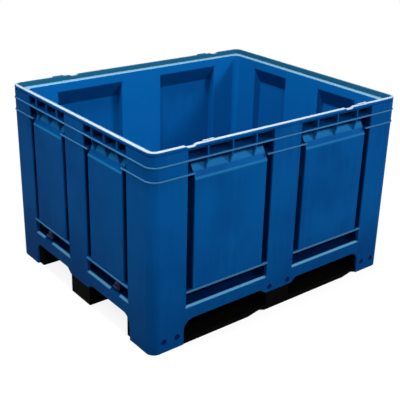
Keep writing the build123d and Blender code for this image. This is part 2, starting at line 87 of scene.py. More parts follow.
class Socket:
    """A value in a node tree, on which operators add Math nodes."""

    def __init__(self, graph: "NodeGraph", socket: bpy.types.NodeSocket) -> None:
        """Keeps the graph and the output that the value comes from."""
        self.graph = graph
        self.socket = socket

    def out(self, name: Union[str, int]) -> "Socket":
        """Another output of the same node."""
        return Socket(self.graph, self.socket.node.outputs[name])

    def _math(self, operation: str, first: Operand, second: Operand = 0.0) -> "Socket":
        """Adds one Math node."""
        return self.graph.add("ShaderNodeMath", {"operation": operation}, {0: first, 1: second})

    def __add__(self, other: Operand) -> "Socket":
        """Sum."""
        return self._math("ADD", self, other)

    def __radd__(self, other: float) -> "Socket":
        """Sum with a number first."""
        return self._math("ADD", other, self)

    def __sub__(self, other: Operand) -> "Socket":
        """Difference."""
        return self._math("SUBTRACT", self, other)

    def __rsub__(self, other: float) -> "Socket":
        """Difference from a number."""
        return self._math("SUBTRACT", other, self)

    def __mul__(self, other: Operand) -> "Socket":
        """Product."""
        return self._math("MULTIPLY", self, other)

    def __rmul__(self, other: float) -> "Socket":
        """Product with a number first."""
        return self._math("MULTIPLY", other, self)

    def __pow__(self, other: Operand) -> "Socket":
        """Power."""
        return self._math("POWER", self, other)

    def __neg__(self) -> "Socket":
        """The value with its sign turned."""
        return self._math("MULTIPLY", self, -1.0)

    def __abs__(self) -> "Socket":
        """The value without its sign."""
        return self._math("ABSOLUTE", self)

    def low(self, other: Operand) -> "Socket":
        """The lower of two values."""
        return self._math("MINIMUM", self, other)

    def high(self, other: Operand) -> "Socket":
        """The higher of two values."""
        return self._math("MAXIMUM", self, other)

    def step(self, start: float, end: float) -> "Socket":
        """A mask that goes smoothly from 0 at start to 1 at end, where start may be the higher one."""
        settings = {"interpolation_type": "SMOOTHSTEP"}
        return self.graph.add("ShaderNodeMapRange", settings, {0: self, 1: start, 2: end, 3: 0.0, 4: 1.0})

    def band(self, low: float, high: float, soft: float) -> "Socket":
        """A mask that is 1 between two values and falls to 0 over a soft width on either side."""
        return self.step(low - soft, low) * self.step(high + soft, high)


class NodeGraph:
    """A node tree to which nodes are added by one method."""

    def __init__(self, tree: bpy.types.NodeTree) -> None:
        """Takes an empty tree."""
        self.tree = tree

    def feed(self, socket: bpy.types.NodeSocket, value: Any) -> None:
        """Links a value into a socket, or sets it there.

        Args:
            socket: The input to feed.
            value: A Socket, a number, a colour, a vector, a name or a data block.
        """
        if isinstance(value, Socket):
            self.tree.links.new(value.socket, socket)
        elif socket.type == "RGBA" and len(value) == 3:
            socket.default_value = (*value, 1.0)
        else:
            socket.default_value = value

    def add(
        self,
        kind: str,
        settings: Optional[Mapping[str, Any]] = None,
        inputs: Optional[Mapping[Union[str, int], Any]] = None,
        output: Union[str, int] = 0,
    ) -> Socket:
        """Adds one node.

        Args:
            kind: The node's type.
            settings: Its properties, set before any input.
            inputs: Values or links for its sockets, by name or number.
            output: The output to give back.

        Returns:
            The chosen output, or the first input of a node without outputs.
        """
        node = self.tree.nodes.new(kind)
        for name, value in (settings or {}).items():
            setattr(node, name, value)
        for name, value in (inputs or {}).items():
            self.feed(node.inputs[name], value)
        return Socket(self, node.outputs[output]) if node.outputs else Socket(self, node.inputs[0])


class ShaderGraph(NodeGraph):
    """The node tree of one material, on Object coordinates."""

    def __init__(self, name: str) -> None:
        """Makes the material.

        Args:
            name: The material's name.
        """
        self.material = bpy.data.materials.new(name)
        self.material.use_nodes = True
        super().__init__(self.material.node_tree)
        self.tree.nodes.clear()
        self.place = self.add("ShaderNodeTexCoord", output="Object")

    def axes(self) -> tuple[Socket, Socket, Socket]:
        """The three Object coordinates in millimetres."""
        parts = self.add("ShaderNodeSeparateXYZ", inputs={0: self.place})
        return parts.out("X") * (1.0 / MM), parts.out("Y") * (1.0 / MM), parts.out("Z") * (1.0 / MM)

    def stretched(self, scale: Sequence[float]) -> Socket:
        """Object coordinates with a scale for each axis."""
        return self.add("ShaderNodeMapping", inputs={"Vector": self.place, "Scale": tuple(scale)})

    def noise(
        self, scale: float, detail: float, place: Optional[Socket] = None, rough: float = 0.5
    ) -> Socket:
        """A noise about 0.5, by its cells to the metre, its octaves and the weight of the finer ones."""
        inputs = {"Vector": place or self.place, "Scale": scale, "Detail": detail, "Roughness": rough}
        return self.add("ShaderNodeTexNoise", inputs=inputs)

    def mix(self, factor: Operand, first: Any, second: Any) -> Socket:
        """Mixes two colours, with the share of the second as the factor."""
        settings = {"data_type": "RGBA", "blend_type": "MIX"}
        return self.add("ShaderNodeMix", settings, {0: factor, 6: first, 7: second}, 2)

    def bump(
        self, height: Socket, strength: float, distance: float, normal: Optional[Socket] = None
    ) -> Socket:
        """A Bump node.

        Args:
            height: Height from 0 to 1.
            strength: Share of the effect.
            distance: Height of 1, in metres.
            normal: A normal to start from.

        Returns:
            The bumped normal.
        """
        inputs: dict[Union[str, int], Any] = {"Height": height, "Strength": strength, "Distance": distance}
        if normal is not None:
            inputs["Normal"] = normal
        return self.add("ShaderNodeBump", inputs=inputs)

    def close(
        self, colour: Socket, rough: Socket, normal: Socket, plain: Mapping[str, float]
    ) -> bpy.types.Material:
        """Ends the graph in a Principled shader.

        Args:
            colour: The base colour.
            rough: The roughness.
            normal: The bumped normal.
            plain: Values that are the same all over, by the names of their sockets.

        Returns:
            The finished material.
        """
        values = {"Base Color": colour, "Roughness": rough, "Normal": normal, **plain}
        shader = self.add("ShaderNodeBsdfPrincipled", inputs=values)
        self.add("ShaderNodeOutputMaterial", inputs={"Surface": shader})
        return self.material


@dataclass
class WallPaint:
    """The body's colour, laid on in layers, and the places and masks that the layers are cut to.

    Places are in millimetres. depth runs inwards from the outline of the walls, and over runs up from the
    sloping roofs of the panels. slot and panel are 1 along the slots and the panels, and gap is 1 where a
    drain interrupts the lip.
    """

    graph: ShaderGraph
    colour: Socket
    x: Socket
    y: Socket
    z: Socket
    depth: Socket
    over: Socket
    slot: Socket
    panel: Socket
    gap: Socket

    def lay(self, mask: Socket, colour: Colour) -> None:
        """Lays a colour over the present one by a mask."""
        self.colour = self.graph.mix(mask, self.colour, colour)


@dataclass(frozen=True)
class BodyFinish:
    """Blue moulded plastic, with painted highlights on its edges and painted light and shade on its walls.

    The outline and the levels of the walls are in millimetres, and so is what the methods add to them, which
    places the soft edge of a mask. A share says how far a region takes on its own colour. A Span is a soft
    edge by itself: the value at which a mask is 0, then the one at which it is 1.
    """

    blue: Colour = (0.0012, 0.070, 0.250)
    deep: Colour = (0.0010, 0.052, 0.200)
    teal: Colour = (0.003, 0.085, 0.265)
    # Painted shade at the foot of the walls and on the ceilings of the bays.
    shade: Colour = (0.0005, 0.030, 0.125)
    # Painted shade in the grooves, slots and pocket cells.
    recess_shade: Colour = (0.0003, 0.0035, 0.032)
    # Painted highlight on the crest of the rim.
    pale: Colour = (0.33, 0.395, 0.450)
    # Painted light on the inner walls and their bays.
    inner_light: Colour = (0.0016, 0.108, 0.350)
    # Painted highlight on the shelf behind the upstand.
    shelf: Colour = (0.150, 0.300, 0.430)
    # Painted shade on the inner side and root of the upstand.
    upstand_shade: Colour = (0.0100, 0.083, 0.150)
    # Scuffs, and the painted highlight along the ledges and what stands out of the walls.
    edge: Colour = (0.045, 0.165, 0.300)
    # Painted highlight on the bottom lip.
    lip: Colour = (0.085, 0.270, 0.440)
    # Painted highlight on the creases and pads at the tops of the panels.
    crease_highlight: Colour = (0.012, 0.150, 0.330)

    streak_share: float = 0.45
    scuff_share: float = 0.10
    inside_share: float = 0.62
    bay_share: float = 0.30
    ceiling_share: float = 0.60
    foot_shade_share: float = 0.45
    groove_share: float = 0.86
    slot_share: float = 0.90
    cell_share: float = 0.62
    ledge_highlight_share: float = 0.75
    crease_share: float = 0.65
    pad_share: float = 0.50
    # How far the scuff noise mottles the painted crest highlight.
    crest_mottle: float = 0.12
    # How much fainter the painted crest highlight is on the rear and right rims.
    far_fade: float = 0.30

    face_x: float = 597.0
    face_y: float = 497.0
    corner: float = 35.0
    post: float = 67.5
    long_end: float = 450.0
    short_end: float = 350.0
    groove: float = 30.0
    foot_top: float = 100.0
    foot_fade_top: float = 300.0
    lip_top: float = 152.0
    slot_top: float = 208.0
    panel_top: float = 636.0
    pocket_top: float = 704.0
    shelf_top: float = 742.0
    rim_top: float = 760.0
    upstand: float = 15.0
    wall: float = 45.0
    skin: float = 5.0
    drain: float = 255.0
    drain_half: float = 32.5
    dips: Sequence[float] = (-438.0, 318.0)
    dip_half: float = 24.0
    dip_ramp: float = 12.0
    dip_depth: float = 6.0

    cloud_edge: Span = (0.30, 0.72)
    streak_edge: Span = (0.45, 0.80)
    scuff_edge: Span = (0.66, 0.80)
    panel_back: Span = (3.4, 4.4)
    under_roof: Span = (-5.5, -8.5)
    ceiling: Span = (-14.0, -11.0)
    slot_back: Span = (12.0, 14.0)
    ledge_front: Span = (0.3, 1.2)
    panel_face: Span = (4.6, 3.0)
    roof: Span = (-6.0, -3.0)
    lip_front: Span = (14.0, 8.0)
    far_rim: Span = (-40.0, -20.0)

    rough: float = 0.44
    rough_spread: float = 0.10
    gloss: float = 0.008
    bump_share: float = 0.10
    wave_height: float = 4.0 * MM
    grain_height: float = 0.3 * MM

    def material(self) -> bpy.types.Material:
        """Builds the material: the layers of colour, then roughness and bumps.

        Returns:
            The finished material.
        """
        graph = ShaderGraph("blue_moulded_plastic")
        clouds = graph.noise(scale=4.5, detail=3.0)
        streaks = graph.noise(scale=3.0, detail=4.0, place=graph.stretched((14.0, 14.0, 1.0)), rough=0.6)
        scuffs = graph.noise(scale=6.0, detail=6.0, place=graph.stretched((6.0, 6.0, 22.0)), rough=0.7)
        waves = graph.noise(scale=9.0, detail=2.0)
        grain = graph.noise(scale=1500.0, detail=2.0)

        paint = self._paint(graph, graph.mix(clouds.step(*self.cloud_edge), self.blue, self.deep))
        paint.lay(streaks.step(*self.streak_edge) * self.streak_share, self.teal)
        paint.lay(scuffs.step(*self.scuff_edge) * self.scuff_share, self.edge)
        self._lay_inner_walls(paint)
        self._lay_recesses(paint)
        self._lay_edges(paint)
        self._lay_shelf(paint)
        # Painted highlight on the rim crest, mottled by the scuff noise.
        crest_highlight = self._crest(paint) * (1.0 - self.crest_mottle + self.crest_mottle * scuffs)
        paint.lay(crest_highlight, self.pale)

        rough = self.rough + self.rough_spread * clouds + self.rough_spread * crest_highlight
        normal = graph.bump(waves, self.bump_share, self.wave_height)
        normal = graph.bump(grain, self.bump_share, self.grain_height, normal)
        return graph.close(paint.colour, rough, normal, {"Specular IOR Level": self.gloss})

    def _paint(self, graph: ShaderGraph, colour: Socket) -> WallPaint:
        """Starts the layers with a ground colour.

        Args:
            graph: The material's graph.
            colour: The ground colour.

        Returns:
            The paint with its places and masks.
        """
        x, y, z = graph.axes()
        depth = self._depth(x, y)
        slope = (self.pocket_top - self.panel_top) / (self.wall - self.skin)
        over = z - self.panel_top - slope * depth
        return WallPaint(graph, colour, x, y, z, depth, over, *self._along(x, y))

    def _depth(self, x: Socket, y: Socket) -> Socket:
        """Depth behind the rounded outline of the walls, in millimetres.

        Args:
            x: Place along the long sides.
            y: Place across the box.

        Returns:
            The depth, below 0 for what stands out from the walls.
        """
        past_x = abs(x) - (self.face_x - self.corner)
        past_y = abs(y) - (self.face_y - self.corner)
        round_part = (past_x.high(0.0) ** 2.0 + past_y.high(0.0) ** 2.0) ** 0.5
        return self.corner - round_part - past_x.high(past_y).low(0.0)

    def _along(self, x: Socket, y: Socket) -> tuple[Socket, Socket, Socket]:
        """Masks along any of the walls.

        Args:
            x: Place along the long sides.
            y: Place across the box.

        Returns:
            The masks of the slots, of the panels and of the gaps of the lip at the drains.
        """
        is_long = ((abs(y) - self.face_y) - (abs(x) - self.face_x)).step(-1.0, 1.0)
        along = is_long * abs(x) + (1.0 - is_long) * abs(y)
        end = is_long * self.long_end + (1.0 - is_long) * self.short_end
        to_end = end - along
        slot = along.step(self.post - 2.0, self.post - 0.5) * to_end.step(-2.0, -0.5)
        start = self.post + self.groove
        panel = along.step(start - 0.5, start + 1.5) * to_end.step(self.groove - 0.5, self.groove + 1.5)
        gap = abs(abs(y) - self.drain).step(self.drain_half + 1.0, self.drain_half - 1.0) * (1.0 - is_long)
        return slot, panel, gap

    def _sunk(self, x: Socket, y: Socket) -> Socket:
        """How far the top of the rim lies below its level at the dips of the long sides, in millimetres.

        Args:
            x: Place along the long sides.
            y: Place across the box.

        Returns:
            The drop, 0 away from the dips.
        """
        along = x * (1.0 - 2.0 * y.step(-1.0, 1.0))
        near = abs(along - self.dips[0]).low(abs(along - self.dips[1]))
        return near.step(self.dip_half, self.dip_half - self.dip_ramp) * self.dip_depth

    def _lay_inner_walls(self, paint: WallPaint) -> None:
        """Paints light on the inner walls and their bays, and paints shade on the ceilings of the bays.

        Args:
            paint: The paint to lay on.
        """
        above_slot = paint.z.step(self.slot_top + 2.0, self.slot_top + 6.0)
        bays = paint.panel * paint.depth.step(*self.panel_back) * above_slot
        bays = bays * paint.over.step(*self.under_roof)
        inner_light = paint.depth.step(self.wall - 3.5, self.wall - 1.0)
        # Painted light on the inner walls and bays, then painted shade on the bay ceilings.
        paint.lay((inner_light * self.inside_share).high(bays * self.bay_share), self.inner_light)
        paint.lay(bays * paint.over.step(*self.ceiling) * self.ceiling_share, self.shade)

    def _lay_recesses(self, paint: WallPaint) -> None:
        """Paints shade at the foot of the walls, darker towards the bottom, and deeper shade in the grooves,
        the slots and the cells of the pockets.

        Args:
            paint: The paint to lay on.
        """
        # Painted shade, darker towards the bottom of the walls.
        paint.lay(paint.z.step(self.foot_fade_top, self.foot_top) * self.foot_shade_share, self.shade)
        grooves = (paint.slot - paint.panel).high(0.0) * paint.z.band(self.slot_top, self.pocket_top, 1.0)
        slots = paint.slot * paint.z.band(self.lip_top - 3.0, self.slot_top - 1.0, 1.0)
        slots = slots * paint.depth.step(*self.slot_back)
        cells = paint.slot * paint.z.band(self.pocket_top + 5.5, self.shelf_top - 7.0, 1.5)
        # Painted shade in the grooves, slots and pocket cells.
        recess_shade = (grooves * self.groove_share).high(slots * self.slot_share).high(cells * self.cell_share)
        paint.lay(recess_shade * paint.depth.band(7.0, self.wall - self.skin, 2.0), self.recess_shade)

    def _lay_edges(self, paint: WallPaint) -> None:
        """Paints highlights on the ledges, on the creases and pads at the tops of the panels, and on the
        bottom lip.

        Args:
            paint: The paint to lay on.
        """
        # Painted highlight on the ledges.
        paint.lay((-paint.depth).step(*self.ledge_front) * self.ledge_highlight_share, self.edge)
        # Painted highlights on the panel creases and on the pads of the sloping roofs.
        crease_highlight = paint.panel * paint.z.band(self.panel_top - 2.0, self.panel_top + 2.0, 5.0)
        crease_highlight = crease_highlight * paint.depth.step(*self.panel_face)
        pads = paint.panel * paint.z.band(self.panel_top + 28.0, self.panel_top + 40.0, 9.0)
        pads = pads * paint.over.step(*self.roof)
        paint.lay((crease_highlight * self.crease_share).high(pads * self.pad_share), self.crease_highlight)
        # Painted highlight on the rounded top of the bottom lip.
        lip = paint.slot * paint.z.step(self.lip_top - 6.5, self.lip_top - 3.0)
        lip = lip * paint.z.step(self.lip_top + 2.0, self.lip_top + 0.5)
        paint.lay(lip * paint.depth.step(*self.lip_front) * (1.0 - paint.gap), self.lip)

    def _lay_shelf(self, paint: WallPaint) -> None:
        """Paints shade on the inner side and the root of the upstand, and a highlight on the shelf behind it.

        Args:
            paint: The paint to lay on.
        """
        above = paint.z.step(self.shelf_top + 0.4, self.shelf_top + 1.4)
        # Painted shade on the upstand, then a painted highlight on the shelf.
        paint.lay(above * paint.depth.step(self.upstand - 3.0, self.upstand - 1.5), self.upstand_shade)
        shelf = paint.z.step(self.shelf_top - 3.0, self.shelf_top - 2.0) * (1.0 - above)
        paint.lay(shelf * paint.depth.band(self.upstand, self.upstand + 6.0, 2.0), self.upstand_shade)
        paint.lay(shelf * paint.depth.step(self.upstand + 7.0, self.upstand + 9.0), self.shelf)

    def _crest(self, paint: WallPaint) -> Socket:
        """Mask of the painted highlight on the crest of the rim, fainter on the rear and right rims.

        Args:
            paint: The paint that has the places.

        Returns:
            The mask.
        """
        crest = (paint.z + self._sunk(paint.x, paint.y)).step(self.rim_top - 3.4, self.rim_top - 1.8)
        crest = crest * paint.depth.step(self.upstand - 2.5, self.upstand - 5.5)
        far = (paint.x - self.face_x).high(paint.y - self.face_y).step(*self.far_rim)
        return crest * (1.0 - self.far_fade * far)


@dataclass(frozen=True)
class RunnerFinish:
    """Black recycled plastic with a dull speckle, and dust up to a height in millimetres above the floor."""

    black: Colour = (0.0010, 0.0010, 0.0012)
    speckle: Colour = (0.004, 0.004, 0.005)
    dust: Colour = (0.030, 0.028, 0.025)
    speck_edge: Span = (0.55, 0.75)
    drift_edge: Span = (0.45, 0.75)
    dust_share: float = 0.25
    dust_height: float = 14.0
    rough: float = 0.50
    rough_spread: float = 0.18
    gloss: float = 0.008
    bump_share: float = 0.25
    bump_height: float = 0.6 * MM

    def material(self) -> bpy.types.Material:
        """Builds the material.

        Returns:
            The finished material.
        """
        graph = ShaderGraph("black_recycled_plastic")
        level = graph.axes()[2]
        specks = graph.noise(scale=260.0, detail=3.0)
        drift = graph.noise(scale=18.0, detail=4.0)
        colour = graph.mix(specks.step(*self.speck_edge), self.black, self.speckle)
        dusty = level.step(self.dust_height, 0.0) * drift.step(*self.drift_edge) * self.dust_share
        colour = graph.mix(dusty, colour, self.dust)
        rough = self.rough + self.rough_spread * drift
        normal = graph.bump(specks, self.bump_share, self.bump_height)
        return graph.close(colour, rough, normal, {"Specular IOR Level": self.gloss})


@dataclass(frozen=True)
class SmallPlasticFinish:
    """Plain moulded plastic or rubber of the small pieces, with a fine mottling."""

    name: str
    colour: Colour
    shade: Colour
    rough: float
    gloss: float
    grain_scale: float
    mottle_edge: Span = (0.35, 0.70)
    rough_spread: float = 0.12
    bump_share: float = 0.2
    bump_height: float = 0.3 * MM

    def material(self) -> bpy.types.Material:
        """Builds the material.

        Returns:
            The finished material.
        """
        graph = ShaderGraph(self.name)
        mottle = graph.noise(scale=70.0, detail=3.0)
        grain = graph.noise(scale=self.grain_scale, detail=2.0)
        colour = graph.mix(mottle.step(*self.mottle_edge), self.colour, self.shade)
        rough = self.rough + self.rough_spread * mottle
        normal = graph.bump(grain, self.bump_share, self.bump_height)
        return graph.close(colour, rough, normal, {"Specular IOR Level": self.gloss})


@dataclass(frozen=True)
class ZincFinish:
    """Zinc-plated steel with a cloudy bloom."""

    bright: Colour = (0.60, 0.61, 0.62)
    dull: Colour = (0.36, 0.37, 0.38)
    bloom_edge: Span = (0.35, 0.70)
    rough: float = 0.32
    rough_spread: float = 0.25
    bump_share: float = 0.12
    bump_height: float = 0.2 * MM

    def material(self) -> bpy.types.Material:
        """Builds the material.

        Returns:
            The finished material.
        """
        graph = ShaderGraph("zinc_plated_steel")
        bloom = graph.noise(scale=220.0, detail=4.0)
        colour = graph.mix(bloom.step(*self.bloom_edge), self.bright, self.dull)
        rough = self.rough + self.rough_spread * bloom
        normal = graph.bump(bloom, self.bump_share, self.bump_height)
        return graph.close(colour, rough, normal, {"Metallic": 1.0})


@dataclass
class MouldedPiece:
    """A copy of a CAD node with its triangles joined, its long sharp edges rounded and its curves smooth."""

    node: str
    edge_radius: float = 1.8 * MM
    rounding_steps: int = 4
    least_length: float = 18.0 * MM
    least_width: float = 6.0 * MM
    clear: float = 6.0 * MM
    straight_share: float = 0.999
    flat_angle: float = math.radians(0.4)
    smooth_angle: float = math.radians(26.0)
    least_angle: float = math.radians(50.0)
    fold_angle: float = math.radians(165.0)
    merge_gap: float = 0.002 * MM
    least_edge: float = 0.001 * MM
    least_area: float = 0.001 * MM * MM
    swing_passes: int = 12

    def build(self, name: str) -> bpy.types.Object:
        """Makes the piece.

        Args:
            name: Name of the new object.

        Returns:
            The new object, at the origin.
        """
        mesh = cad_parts[self.node].data.copy()
        mesh.name = name
        work = bmesh.new()
        work.from_mesh(mesh)
        self._join_faces(work)
        chains = self._chains(self._long_edges(work))
        self._round_edges(work, chains)
        self._mend(work)
        for face in work.faces:
            face.smooth = True
        for edge in work.edges:
            edge.smooth = edge.calc_face_angle(math.pi) < self.smooth_angle
        work.to_mesh(mesh)
        work.free()
        mesh.materials.clear()
        piece = bpy.data.objects.new(name, mesh)
        bpy.context.scene.collection.objects.link(piece)
        self._flatten(piece)
        LOG.info("%s: %d faces, %d chains of edges rounded", name, len(piece.data.polygons), len(chains))
        return piece

    def _join_faces(self, work: bmesh.types.BMesh) -> None:
        """Joins the loose triangles of the CAD mesh, and those that lie in one plane into one face.

        Args:
            work: The mesh.
        """
        bmesh.ops.remove_doubles(work, verts=work.verts, dist=self.merge_gap)
        bmesh.ops.dissolve_limit(
            work, angle_limit=self.flat_angle, verts=work.verts, edges=work.edges, delimit={"NORMAL"}
        )

    def _long_edges(self, work: bmesh.types.BMesh) -> list[bmesh.types.BMEdge]:
        """Finds the edges to round, and parts off their ends that lie beside fine detail.

        Args:
            work: The mesh, whose edges are split where needed.

        Returns:
            The edges, or what is left of them.
        """
        square = [edge for edge in work.edges if self._is_square(edge)]
        known = set(square)
        fine = {
            vert
            for edge in square
            for vert in edge.verts
            if any(other not in known and self._is_detail(other) for other in vert.link_edges)
        }
        kept = []
        for edge in square:
            for vert in tuple(edge.verts):
                if vert in fine:
                    part, _ = bmesh.utils.edge_split(edge, vert, self.clear / edge.calc_length())
                    edge = part if vert in edge.verts else edge
            kept.append(edge)
        return kept

    @staticmethod
    def _chains(edges: Sequence[bmesh.types.BMEdge]) -> list[list[bmesh.types.BMEdge]]:
        """Sorts edges into chains that touch, so that a tight place limits only its own chain.

        Args:
            edges: The edges to sort.

        Returns:
            The chains.
        """
        left = set(edges)
        chains = []
        for first in edges:
            if first not in left:
                continue
            left.remove(first)
            chain = [first]
            for edge in chain:
                touching = [other for vert in edge.verts for other in vert.link_edges if other in left]
                left.difference_update(touching)
                chain.extend(touching)
            chains.append(chain)
        return chains

    def _round_edges(self, work: bmesh.types.BMesh, chains: Sequence[list[bmesh.types.BMEdge]]) -> None:
        """Rounds the chains of edges, one after the other.

        Args:
            work: The mesh.
            chains: Its chains of edges.
        """
        for chain in chains:
            bmesh.ops.bevel(
                work,
                geom=chain,
                offset=self.edge_radius,
                offset_type="OFFSET",
                segments=self.rounding_steps,
                profile=0.5,
                affect="EDGES",
                clamp_overlap=True,
            )

    def _mend(self, work: bmesh.types.BMesh) -> None:
        """Turns the mesh into triangles, and clears folds and triangles without area as far as it can.

        Args:
            work: The mesh.
        """
        bmesh.ops.dissolve_degenerate(work, dist=self.least_edge, edges=work.edges)
        bmesh.ops.triangulate(work, faces=work.faces, ngon_method="EAR_CLIP")
        folded = [edge for edge in work.edges if edge.calc_face_angle(0.0) > self.fold_angle]
        bmesh.ops.dissolve_edges(work, edges=folded)
        bmesh.ops.triangulate(work, faces=work.faces, ngon_method="EAR_CLIP")
        self._swing_flat(work)

    def _swing_flat(self, work: bmesh.types.BMesh) -> None:
        """Turns the longest edge of each triangle without area, so that the triangle gets one.

        Args:
            work: The mesh, in triangles.
        """
        for _ in range(self.swing_passes):
            flat = [face for face in work.faces if face.calc_area() < self.least_area]
            longest = dict.fromkeys(max(face.edges, key=lambda edge: edge.calc_length()) for face in flat)
            if not longest:
                return
            bmesh.ops.rotate_edges(work, edges=list(longest), use_ccw=False)

    @staticmethod
    def _flatten(piece: bpy.types.Object) -> None:
        """Lets the large faces set the shading normals, so that flats stay flat beside curves.

        Args:
            piece: The piece, whose mesh is replaced.
        """
        modifier = piece.modifiers.new("flat_faces", "WEIGHTED_NORMAL")
        modifier.mode = "FACE_AREA"
        modifier.weight = 100
        modifier.keep_sharp = True
        depsgraph = bpy.context.evaluated_depsgraph_get()
        flat = bpy.data.meshes.new_from_object(piece.evaluated_get(depsgraph), depsgraph=depsgraph)
        piece.modifiers.remove(modifier)
        piece.data = flat
        flat.name = piece.name

    def _is_detail(self, edge: bmesh.types.BMEdge) -> bool:
        """Whether an edge is too short or too blunt for a rounding to run into it."""
        is_blunt = self.smooth_angle < edge.calc_face_angle(0.0) < self.least_angle
        return edge.calc_length() < self.clear or is_blunt

    def _is_square(self, edge: bmesh.types.BMEdge) -> bool:
        """Whether an edge is long, convex, square and along an axis, so that it can be rounded.

        Args:
            edge: The edge to look at.

        Returns:
            True where it can be rounded.
        """
        length = edge.calc_length()
        if len(edge.link_faces) != 2 or length < self.least_length:
            return False
        if max(abs(part) for part in edge.verts[1].co - edge.verts[0].co) < self.straight_share * length:
            return False
        angle = edge.calc_face_angle_signed(0.0)
        if not self.least_angle < angle < math.pi - self.least_angle:
            return False
        return all(face.calc_area() / length > self.least_width for face in edge.link_faces)


class GeometryTree(NodeGraph):
    """A Geometry Nodes tree with named inputs."""

    def __init__(self, name: str, sizes: Sequence[str], with_points: bool = True) -> None:
        """Makes the tree with its inputs and a geometry output.

        Args:
            name: The tree's name.
            sizes: Names of its length inputs.
            with_points: Whether it has a geometry input and a material input.
        """
        super().__init__(bpy.data.node_groups.new(name, "GeometryNodeTree"))
        face = self.tree.interface
        face.new_socket("Geometry", in_out="OUTPUT", socket_type="NodeSocketGeometry")
        if with_points:
            face.new_socket("Points", in_out="INPUT", socket_type="NodeSocketGeometry")
            face.new_socket("Material", in_out="INPUT", socket_type="NodeSocketMaterial")
        for size in sizes:
            face.new_socket(size, in_out="INPUT", socket_type="NodeSocketFloat")
        self.entry = self.add("NodeGroupInput")

    def size(self, name: str) -> Socket:
        """One of the tree's inputs."""
        return self.entry.out(name)

    def vector(self, x: Operand, y: Operand, z: Operand = 0.0) -> Socket:
        """A vector from three values."""
        return self.add("ShaderNodeCombineXYZ", inputs={0: x, 1: y, 2: z})

    def end(self, shape: Socket) -> None:
        """Sends a shape to the tree's output."""
        self.add("NodeGroupOutput", inputs={0: shape})

    def part(self, tree: "GeometryTree", **sizes: Operand) -> Socket:
        """Uses another tree as a node, with its inputs named in lower case with underscores."""
        named = {name.replace("_", " ").title(): value for name, value in sizes.items()}
        return self.add("GeometryNodeGroup", {"node_tree": tree.tree}, named)

    def join(self, *shapes: Socket) -> Socket:
        """Joins shapes.

        Args:
            shapes: The shapes to join.

        Returns:
            The joined shape.
        """
        joined = self.add("GeometryNodeJoinGeometry")
        for shape in shapes:
            self.tree.links.new(shape.socket, joined.socket.node.inputs[0])
        return joined

    def scatter(self, shape: Socket) -> None:
        """Ends the tree: sets a shape on every point by its turn, makes it real and gives it the material.

        Args:
            shape: The shape to set on the points.
        """
        turn = self.add("GeometryNodeInputNamedAttribute", {"data_type": "FLOAT_VECTOR"}, {"Name": "turn"})
        turn = self.add("FunctionNodeEulerToRotation", inputs={0: turn})
        inputs = {"Points": self.size("Points"), "Instance": shape, "Rotation": turn}
        placed = self.add("GeometryNodeInstanceOnPoints", inputs=inputs)
        real = self.add("GeometryNodeRealizeInstances", inputs={0: placed})
        inputs = {"Geometry": real, "Material": self.size("Material")}
        self.end(self.add("GeometryNodeSetMaterial", inputs=inputs))


